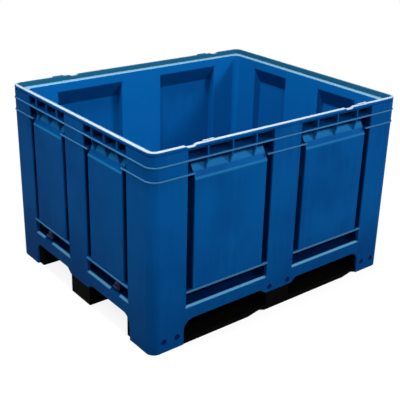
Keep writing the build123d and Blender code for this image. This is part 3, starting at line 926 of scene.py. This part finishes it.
class TurnedTrees:
    """Trees for the small round pieces, each drawn along its own Z axis.

    A share is a part of another size: of the bar's width and plan, of the radius and height of the screw's
    head, and of the radius and rounding of the bung's head.
    """

    ROUND_STEPS = 40
    BEND_STEPS = 4
    POLE_RADIUS = 0.01 * MM
    MERGE_GAP = 0.05 * MM
    BAR_BEND_STEPS = 6
    BAR_MERGE_GAP = 0.01 * MM
    BAR_END_SHARE = 0.45
    BAR_TOP_SHARE = 0.84
    SCREW_CAP_SHARE = 0.86
    SCREW_COLLAR_SHARE = 0.35
    BUNG_RIM_SHARE = 0.84
    BUNG_PLATE_ROUNDING_SHARE = 0.3

    def __init__(self) -> None:
        """Builds every tree."""
        self.disc = self._disc()
        self.ring = self._ring()
        self.bar = self._bar()
        self.pin = self._pin()
        self.screw = self._screw()
        self.bung = self._bung()
        self.seal = self._seal()

    def _swept(self, tree: GeometryTree, profile: Socket, radius: Operand) -> Socket:
        """Turns a profile of (radius, height) about the Z axis.

        Args:
            tree: The tree to add to.
            profile: The profile curve, with its sharp corners.
            radius: Radius of the circle that the profile is measured from.

        Returns:
            The turned mesh, closed at its poles.
        """
        rounded = self._filleted(tree, profile, tree.size("Rounding"), self.BEND_STEPS)
        inputs = {"Resolution": self.ROUND_STEPS, "Radius": radius}
        circle = tree.add("GeometryNodeCurvePrimitiveCircle", inputs=inputs)
        circle = tree.add("GeometryNodeSetCurveNormal", {"mode": "Z_UP"}, {"Curve": circle})
        swept = tree.add("GeometryNodeCurveToMesh", inputs={"Curve": circle, "Profile Curve": rounded})
        inputs = {"Geometry": swept, "Distance": self.MERGE_GAP}
        return tree.add("GeometryNodeMergeByDistance", inputs=inputs)

    @staticmethod
    def _filleted(tree: GeometryTree, curve: Socket, radius: Socket, steps: int) -> Socket:
        """A curve with its corners rounded in a number of steps."""
        inputs = {"Curve": curve, "Radius": radius, "Count": steps, "Limit Radius": True}
        return tree.add("GeometryNodeFilletCurve", {"mode": "POLY"}, inputs)

    @staticmethod
    def _outline(tree: GeometryTree, near: Operand, far: Socket, closed: bool) -> Socket:
        """A profile with four corners, at two radii and at the tree's Low and High.

        A sweep lays the Y axis of its profile downwards, so the heights change their sign.

        Args:
            tree: The tree to add to.
            near: The smaller radius, measured from the circle of the sweep.
            far: The larger radius, measured in the same way.
            closed: Whether the profile has a side at the smaller radius.

        Returns:
            The profile curve.
        """
        low, high = -tree.size("Low"), -tree.size("High")
        corners = ((near, low), (far, low), (far, high), (near, high))
        inputs = {f"Point {number}": tree.vector(*corner) for number, corner in enumerate(corners, 1)}
        shape = tree.add("GeometryNodeCurvePrimitiveQuadrilateral", {"mode": "POINTS"}, inputs)
        return tree.add("GeometryNodeSetSplineCyclic", inputs={"Geometry": shape, "Cyclic": closed})

    def _disc(self) -> GeometryTree:
        """A disc with rounded edges between two heights.

        Returns:
            The tree.
        """
        tree = GeometryTree("rounded_disc", ("Radius", "Low", "High", "Rounding"), with_points=False)
        profile = self._outline(tree, 0.0, tree.size("Radius"), False)
        tree.end(self._swept(tree, profile, self.POLE_RADIUS))
        return tree

    def _ring(self) -> GeometryTree:
        """A ring with rounded edges between two radii and two heights.

        Returns:
            The tree.
        """
        tree = GeometryTree("rounded_ring", ("Inner", "Outer", "Low", "High", "Rounding"), with_points=False)
        half = (tree.size("Outer") - tree.size("Inner")) * 0.5
        profile = self._outline(tree, -half, half, True)
        tree.end(self._swept(tree, profile, tree.size("Inner") + half))
        return tree

    def _bar(self) -> GeometryTree:
        """A bar along X with rounded ends and a narrower top.

        Returns:
            The tree.
        """
        tree = GeometryTree("rounded_bar", ("Length", "Width", "Low", "High", "Rounding"), with_points=False)
        length, width, rounding = tree.size("Length"), tree.size("Width"), tree.size("Rounding")
        inputs = {"Width": length, "Height": width}
        plan = tree.add("GeometryNodeCurvePrimitiveQuadrilateral", {"mode": "RECTANGLE"}, inputs)
        plan = self._filleted(tree, plan, width * self.BAR_END_SHARE, self.BAR_BEND_STEPS)
        plan = tree.add("GeometryNodeFillCurve", {"mode": "NGONS"}, {"Curve": plan})
        height = tree.size("High") - tree.size("Low")
        inputs = {"Mesh": plan, "Offset Scale": height - rounding}
        side = tree.add("GeometryNodeExtrudeMesh", inputs=inputs)
        inputs = {"Mesh": side, "Selection": side.out("Top"), "Offset Scale": rounding}
        top = tree.add("GeometryNodeExtrudeMesh", inputs=inputs)
        inputs = {"Geometry": top, "Selection": top.out("Top"), "Scale": self.BAR_TOP_SHARE}
        top = tree.add("GeometryNodeScaleElements", inputs=inputs)
        base = tree.add("GeometryNodeFlipFaces", inputs={"Mesh": plan})
        inputs = {"Geometry": tree.join(top, base), "Distance": self.BAR_MERGE_GAP}
        whole = tree.add("GeometryNodeMergeByDistance", inputs=inputs)
        lift = tree.vector(0.0, 0.0, tree.size("Low"))
        tree.end(tree.add("GeometryNodeTransform", inputs={"Geometry": whole, "Translation": lift}))
        return tree

    def _stem(self, tree: GeometryTree, name: str) -> Socket:
        """The stem under a head, by the radius and the length that are named for it."""
        radius, length = tree.size(f"{name} Radius"), tree.size(f"{name} Length")
        return tree.part(self.disc, radius=radius, low=-length, high=0.0, rounding=tree.size("Rounding"))

    def _hollow_floor(self, tree: GeometryTree, name: str) -> Socket:
        """The floor of the hollow in a head.

        Args:
            tree: The tree to add to.
            name: What the hollow's radius and depth are named for.

        Returns:
            The floor.
        """
        rounding = tree.size("Rounding")
        radius = tree.size(f"{name} Radius") + rounding
        level = tree.size("Head Height") - tree.size(f"{name} Depth")
        return tree.part(self.disc, radius=radius, low=0.0, high=level, rounding=rounding * 0.5)

    def _pin(self) -> GeometryTree:
        """A push-in pin: a head with a raised rim, and a shank.

        Returns:
            The tree.
        """
        sizes = ("Head Radius", "Head Height", "Dish Radius", "Dish Depth")
        tree = GeometryTree("push_in_pin", (*sizes, "Shank Radius", "Shank Length", "Rounding"))
        rim = tree.part(
            self.ring,
            inner=tree.size("Dish Radius"),
            outer=tree.size("Head Radius"),
            low=0.0,
            high=tree.size("Head Height"),
            rounding=tree.size("Rounding"),
        )
        tree.scatter(tree.join(rim, self._hollow_floor(tree, "Dish"), self._stem(tree, "Shank")))
        return tree

    def _screw(self) -> GeometryTree:
        """A cap screw: a round head with a socket and a collar, and a shank.

        Returns:
            The tree.
        """
        sizes = ("Head Radius", "Head Height", "Socket Radius", "Socket Depth")
        tree = GeometryTree("cap_screw", (*sizes, "Shank Radius", "Shank Length", "Rounding"))
        radius, head, rounding = tree.size("Head Radius"), tree.size("Head Height"), tree.size("Rounding")
        socket, cap = tree.size("Socket Radius"), radius * self.SCREW_CAP_SHARE
        rim = tree.part(self.ring, inner=socket, outer=cap, low=0.0, high=head, rounding=rounding)
        collar = tree.part(
            self.ring,
            inner=socket,
            outer=radius,
            low=0.0,
            high=head * self.SCREW_COLLAR_SHARE,
            rounding=rounding * 0.5,
        )
        floor = self._hollow_floor(tree, "Socket")
        tree.scatter(tree.join(rim, collar, floor, self._stem(tree, "Shank")))
        return tree

    def _bung(self) -> GeometryTree:
        """A drain bung: a plug, a head with a raised rim, and a bar to pull it by.

        Returns:
            The tree.
        """
        sizes = ("Head Radius", "Head Height", "Plug Radius", "Plug Length")
        tree = GeometryTree("drain_bung", (*sizes, "Bar Length", "Bar Width", "Bar Height", "Rounding"))
        radius, head, rounding = tree.size("Head Radius"), tree.size("Head Height"), tree.size("Rounding")
        plate = tree.part(
            self.disc,
            radius=radius - rounding,
            low=0.0,
            high=head - rounding * 0.5,
            rounding=rounding * self.BUNG_PLATE_ROUNDING_SHARE,
        )
        rim = tree.part(
            self.ring, inner=radius * self.BUNG_RIM_SHARE, outer=radius, low=0.0, high=head, rounding=rounding
        )
        bar = tree.part(
            self.bar,
            length=tree.size("Bar Length"),
            width=tree.size("Bar Width"),
            low=head * 0.5,
            high=head + tree.size("Bar Height"),
            rounding=rounding,
        )
        tree.scatter(tree.join(plate, rim, self._stem(tree, "Plug"), bar))
        return tree

    def _seal(self) -> GeometryTree:
        """A seal ring.

        Returns:
            The tree.
        """
        tree = GeometryTree("seal_ring", ("Inner", "Outer", "Thickness", "Rounding"))
        ring = tree.part(
            self.ring,
            inner=tree.size("Inner"),
            outer=tree.size("Outer"),
            low=-tree.size("Thickness"),
            high=0.0,
            rounding=tree.size("Rounding"),
        )
        tree.scatter(ring)
        return tree


@dataclass
class Placement:
    """A place for one small piece: where its seat is, which way it points and which way its own X runs."""

    seat: Vector
    points: Vector
    along: Vector

    def turn(self) -> Point:
        """The turn as Euler angles."""
        across = self.points.cross(self.along)
        return tuple(Matrix((self.along, across, self.points)).transposed().to_euler())


@dataclass
class SmallPieces:
    """Bakes a tree over a set of places into one mesh for one body."""

    tree: GeometryTree
    sizes: Mapping[str, float]
    material: bpy.types.Material
    smooth_angle: float = math.radians(40.0)

    def bake(self, name: str, places: Sequence[Placement]) -> bpy.types.Object:
        """Makes the pieces.

        Args:
            name: Name of the new object.
            places: Where they go.

        Returns:
            One plain mesh object at the origin.
        """
        points = bpy.data.meshes.new(f"{name}_points")
        points.from_pydata([tuple(place.seat) for place in places], [], [])
        turns = points.attributes.new("turn", "FLOAT_VECTOR", "POINT")
        for item, place in zip(turns.data, places):
            item.vector = place.turn()
        host = bpy.data.objects.new(f"{name}_host", points)
        bpy.context.scene.collection.objects.link(host)
        modifier = host.modifiers.new("pieces", "NODES")
        modifier.node_group = self.tree.tree
        values = {**self.sizes, "Material": self.material}
        for item in self.tree.tree.interface.items_tree:
            if item.in_out == "INPUT" and item.name in values:
                modifier[item.identifier] = values[item.name]
        depsgraph = bpy.context.evaluated_depsgraph_get()
        mesh = bpy.data.meshes.new_from_object(host.evaluated_get(depsgraph), depsgraph=depsgraph)
        host.modifiers.remove(modifier)
        bpy.data.objects.remove(host)
        self._face_outwards(mesh)
        mesh.name = name
        piece = bpy.data.objects.new(name, mesh)
        bpy.context.scene.collection.objects.link(piece)
        mesh.shade_smooth()
        mesh.set_sharp_from_angle(angle=self.smooth_angle)
        LOG.info("%s: %d places, %d faces", name, len(places), len(mesh.polygons))
        return piece

    @staticmethod
    def _face_outwards(mesh: bpy.types.Mesh) -> None:
        """Turns the faces of closed shells outwards.

        Args:
            mesh: The mesh to change.
        """
        work = bmesh.new()
        work.from_mesh(mesh)
        bmesh.ops.recalc_face_normals(work, faces=work.faces)
        work.to_mesh(mesh)
        work.free()


def dress(piece: bpy.types.Object, body: str, nodes: Sequence[str]) -> None:
    """Makes a piece stand for its CAD nodes and move with their body.

    Args:
        piece: The new piece.
        body: The body that it rides on.
        nodes: The CAD nodes that it stands for.
    """
    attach(piece, body)
    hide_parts(*nodes)


@dataclass
class BoxBody:
    """The one-piece moulded body."""

    finish: BodyFinish = field(default_factory=BodyFinish)

    def build(self) -> None:
        """Builds the body and dresses it."""
        piece = MouldedPiece("box_body").build("moulded_body")
        piece.data.materials.append(self.finish.material())
        dress(piece, "box", ["box_body"])


@dataclass
class RunnerSet:
    """The three black runners under the box."""

    finish: RunnerFinish = field(default_factory=RunnerFinish)
    names: Sequence[str] = ("front", "middle", "rear")
    edge_radius: float = 2.0 * MM

    def build(self) -> None:
        """Builds the runners with one finish."""
        material = self.finish.material()
        for name in self.names:
            piece = MouldedPiece(f"runner_{name}", edge_radius=self.edge_radius).build(f"skid_{name}")
            piece.data.materials.append(material)
            dress(piece, "box", [f"runner_{name}"])


@dataclass
class PinSet:
    """The pins that hold the outer runners, in the feet and the mid skirts of the long sides.

    Places are in millimetres.
    """

    trees: TurnedTrees
    seat_y: float = 491.0
    foot_x: Sequence[float] = (487.0, 545.0)
    foot_level: float = 43.0
    skirt_x: float = 48.0
    skirt_level: float = 101.0
    finish: SmallPlasticFinish = SmallPlasticFinish(
        name="dark_pin_plastic",
        colour=(0.0006, 0.014, 0.088),
        shade=(0.0004, 0.010, 0.066),
        rough=0.45,
        gloss=0.015,
        grain_scale=900.0,
    )
    sizes: Mapping[str, float] = field(
        default_factory=lambda: {
            "Head Radius": 11.7 * MM,
            "Head Height": 4.0 * MM,
            "Dish Radius": 6.6 * MM,
            "Dish Depth": 1.4 * MM,
            "Shank Radius": 6.0 * MM,
            "Shank Length": 30.0 * MM,
            "Rounding": 0.8 * MM,
        }
    )

    def places(self) -> list[Placement]:
        """Finds the places of the pins.

        Returns:
            Every pin of both long sides.
        """
        spots = [(side.value * x, self.foot_level) for side in Side for x in self.foot_x]
        spots += [(side.value * self.skirt_x, self.skirt_level) for side in Side]
        found = []
        for end in End:
            for x, z in spots:
                seat = Vector((x, end.value * self.seat_y, z)) * MM
                found.append(Placement(seat, Vector((0, end.value, 0)), Vector((1, 0, 0))))
        return found

    def build(self) -> None:
        """Builds all pins as one piece."""
        made = SmallPieces(self.trees.pin, self.sizes, self.finish.material())
        nodes = [f"runner_pins_{end.name.lower()}_{block.name.lower()}" for end in End for block in Block]
        dress(made.bake("runner_pins", self.places()), "box", nodes)


@dataclass
class ScrewSet:
    """The screws that hold the middle runner, from below, with their places in millimetres."""

    trees: TurnedTrees
    across: float = 40.0
    block_x: float = 524.0
    seat_z: float = 12.0
    finish: ZincFinish = field(default_factory=ZincFinish)
    sizes: Mapping[str, float] = field(
        default_factory=lambda: {
            "Head Radius": 9.0 * MM,
            "Head Height": 6.0 * MM,
            "Socket Radius": 4.2 * MM,
            "Socket Depth": 3.4 * MM,
            "Shank Radius": 4.0 * MM,
            "Shank Length": 120.0 * MM,
            "Rounding": 0.7 * MM,
        }
    )

    def places(self) -> list[Placement]:
        """Two screws at each block."""
        spots = [(block.value * self.block_x, end.value * self.across) for block in Block for end in End]
        return [self._place(x, y) for x, y in spots]

    def _place(self, x: float, y: float) -> Placement:
        """The place of one screw, which points down."""
        return Placement(Vector((x, y, self.seat_z)) * MM, Vector((0, 0, -1)), Vector((1, 0, 0)))

    def build(self) -> None:
        """Builds all screws as one piece."""
        made = SmallPieces(self.trees.screw, self.sizes, self.finish.material())
        nodes = [f"runner_screws_{block.name.lower()}" for block in Block]
        dress(made.bake("runner_screws", self.places()), "box", nodes)


@dataclass
class DrainSet:
    """The four drain bungs of the short sides, each with its seal, with their places in millimetres."""

    trees: TurnedTrees
    under_head_x: float = 576.1
    along_y: float = 255.0
    level: float = 170.0
    bung_finish: SmallPlasticFinish = SmallPlasticFinish(
        name="grey_blue_bung_plastic",
        colour=(0.016, 0.024, 0.080),
        shade=(0.012, 0.018, 0.060),
        rough=0.42,
        gloss=0.10,
        grain_scale=700.0,
    )
    seal_finish: SmallPlasticFinish = SmallPlasticFinish(
        name="black_seal_rubber",
        colour=(0.010, 0.010, 0.011),
        shade=(0.016, 0.016, 0.017),
        rough=0.62,
        gloss=0.20,
        grain_scale=1200.0,
    )
    bung_sizes: Mapping[str, float] = field(
        default_factory=lambda: {
            "Head Radius": 18.5 * MM,
            "Head Height": 7.0 * MM,
            "Plug Radius": 13.7 * MM,
            "Plug Length": 22.1 * MM,
            "Bar Length": 30.0 * MM,
            "Bar Width": 8.0 * MM,
            "Bar Height": 10.0 * MM,
            "Rounding": 1.6 * MM,
        }
    )
    seal_sizes: Mapping[str, float] = field(
        default_factory=lambda: {
            "Inner": 14.0 * MM,
            "Outer": 18.0 * MM,
            "Thickness": 3.0 * MM,
            "Rounding": 1.1 * MM,
        }
    )

    def build(self) -> None:
        """Builds each bung and its seal on their own body."""
        bungs = SmallPieces(self.trees.bung, self.bung_sizes, self.bung_finish.material())
        seals = SmallPieces(self.trees.seal, self.seal_sizes, self.seal_finish.material())
        for side in Side:
            for end in End:
                name = f"{side.name.lower()}_{end.name.lower()}"
                seat = Vector((side.value * self.under_head_x, end.value * self.along_y, self.level)) * MM
                place = Placement(seat, Vector((side.value, 0, 0)), Vector((0, 1, 0)))
                body = f"bung_{name}"
                dress(bungs.bake(f"bung_piece_{name}", [place]), body, [f"drain_bung_{name}"])
                dress(seals.bake(f"seal_piece_{name}", [place]), body, [f"drain_seal_{name}"])


@dataclass
class Lamp:
    """One soft area lamp aimed at a point, in metres."""

    name: str
    place: Point
    size: tuple[float, float]
    watts: float
    aim: Point = (0.0, 0.0, 0.45)

    def build(self) -> None:
        """Adds the lamp to the scene."""
        data = bpy.data.lights.new(self.name, "AREA")
        data.shape = "RECTANGLE"
        data.size, data.size_y = self.size
        data.energy = self.watts
        lamp = bpy.data.objects.new(self.name, data)
        lamp.location = self.place
        lamp.rotation_euler = (Vector(self.aim) - Vector(self.place)).to_track_quat("-Z", "Y").to_euler()
        lamp.visible_camera = False
        bpy.context.scene.collection.objects.link(lamp)


@dataclass
class Studio:
    """White studio: floor, world, soft lamps and the camera of the photograph.

    Lengths are in metres, angles in degrees, and the camera's own sizes in pixels and millimetres of sensor.
    """

    ambient: float = 0.14
    floor_colour: Colour = (0.90, 0.90, 0.90)
    floor_bounce: Colour = (0.20, 0.20, 0.20)
    floor_white: float = 0.86
    floor_near: float = 1.2
    floor_far: float = 3.0
    floor_half: float = 30.0
    floor_level: float = -0.6 * MM
    lamps: Sequence[Lamp] = (
        Lamp("key_front", place=(2.6, -3.2, 2.9), size=(1.4, 0.7), watts=162.0),
        Lamp("fill_front", place=(-1.2, -2.5, 2.4), size=(1.0, 0.6), watts=50.0),
        Lamp("key_left", place=(-2.2, -0.05, 2.6), size=(0.6, 0.9), watts=43.0),
        Lamp("top", place=(-0.8, -0.25, 3.25), size=(0.5, 0.4), watts=65.0),
        Lamp("fill_rear", place=(2.6, 3.2, 2.2), size=(2.0, 1.2), watts=110.0, aim=(0.0, 0.0, 0.4)),
    )
    azimuth: float = -39.369
    elevation: float = 22.757
    roll: float = 1.847
    eye: Point = (-1.8984, -2.40499, 1.6255)
    focal_pixels: float = 785.331
    centre_pixels: tuple[float, float] = (215.385, 186.107)
    image_pixels: float = 400.0
    sensor: float = 36.0
    clip_end: float = 200.0

    def build(self) -> None:
        """Builds the whole studio."""
        scene = bpy.context.scene
        scene.view_settings.view_transform = "Standard"
        self._world(scene)
        self._floor(scene)
        for lamp in self.lamps:
            lamp.build()
        self._camera(scene)

    @staticmethod
    def _seen(graph: NodeGraph) -> Socket:
        """Tells the rays that show the background: camera, glossy and transmission rays.

        Args:
            graph: The graph to add to.

        Returns:
            1 for such rays and 0 for others.
        """
        path = graph.add("ShaderNodeLightPath")
        seen = path.out("Is Camera Ray").high(path.out("Is Glossy Ray"))
        return seen.high(path.out("Is Transmission Ray"))

    def _world(self, scene: bpy.types.Scene) -> None:
        """Adds a white world, dimmer as a light than as a background.

        Args:
            scene: The scene that gets it.
        """
        world = bpy.data.worlds.new("white_studio")
        world.use_nodes = True
        world.node_tree.nodes.clear()
        graph = NodeGraph(world.node_tree)
        strength = self.ambient + (1.0 - self.ambient) * self._seen(graph)
        light = graph.add("ShaderNodeBackground", inputs={"Color": WHITE, "Strength": strength})
        graph.add("ShaderNodeOutputWorld", inputs={"Surface": light})
        scene.world = world

    def _floor(self, scene: bpy.types.Scene) -> None:
        """Adds a pale floor that stays near white to the camera and keeps a soft shadow.

        Args:
            scene: The scene that gets it.
        """
        half, level = self.floor_half, self.floor_level
        mesh = bpy.data.meshes.new("studio_floor")
        corners = [(-half, -half, level), (half, -half, level), (half, half, level), (-half, half, level)]
        mesh.from_pydata(corners, [], [(0, 1, 2, 3)])
        floor = bpy.data.objects.new("studio_floor", mesh)
        scene.collection.objects.link(floor)
        graph = ShaderGraph("pale_floor")
        seen = self._seen(graph)
        shade = graph.mix(seen, self.floor_bounce, self.floor_colour)
        matt = graph.add("ShaderNodeBsdfDiffuse", inputs={"Color": shade})
        white = graph.add("ShaderNodeEmission", inputs={"Color": WHITE, "Strength": 1.0})
        away = graph.add("ShaderNodeVectorMath", {"operation": "LENGTH"}, {0: graph.place}, "Value")
        fade = away.step(self.floor_near, self.floor_far)
        share = seen * (self.floor_white + (1.0 - self.floor_white) * fade)
        mixed = graph.add("ShaderNodeMixShader", inputs={0: share, 1: matt, 2: white})
        graph.add("ShaderNodeOutputMaterial", inputs={"Surface": mixed})
        mesh.materials.append(graph.material)

    def _camera(self, scene: bpy.types.Scene) -> None:
        """Adds the camera of the photograph.

        Args:
            scene: The scene that gets it.
        """
        turn, rise, roll = (math.radians(angle) for angle in (self.azimuth, self.elevation, self.roll))
        ahead = Vector((-math.sin(turn) * math.cos(rise), math.cos(turn) * math.cos(rise), -math.sin(rise)))
        right = Vector((math.cos(turn), math.sin(turn), 0.0))
        up = right.cross(ahead)
        rolled_right = math.cos(roll) * right + math.sin(roll) * up
        rolled_up = -math.sin(roll) * right + math.cos(roll) * up
        data = bpy.data.cameras.new("photo_camera")
        data.sensor_width = self.sensor
        data.lens = self.focal_pixels / self.image_pixels * self.sensor
        data.shift_x = 0.5 - self.centre_pixels[0] / self.image_pixels
        data.shift_y = self.centre_pixels[1] / self.image_pixels - 0.5
        data.clip_end = self.clip_end
        camera = bpy.data.objects.new("photo_camera", data)
        turned = Matrix((rolled_right, rolled_up, -ahead)).transposed().to_4x4()
        camera.matrix_world = Matrix.Translation(self.eye) @ turned
        scene.collection.objects.link(camera)
        scene.camera = camera


def main() -> None:
    """Builds every sub-assembly in order, then the studio."""
    logging.basicConfig(level=logging.INFO, format="%(name)s: %(message)s")
    trees = TurnedTrees()
    for assembly in (BoxBody(), RunnerSet(), PinSet(trees), ScrewSet(trees), DrainSet(trees), Studio()):
        assembly.build()
        LOG.info("%s is built", type(assembly).__name__)


if __name__ == "__main__":
    main()
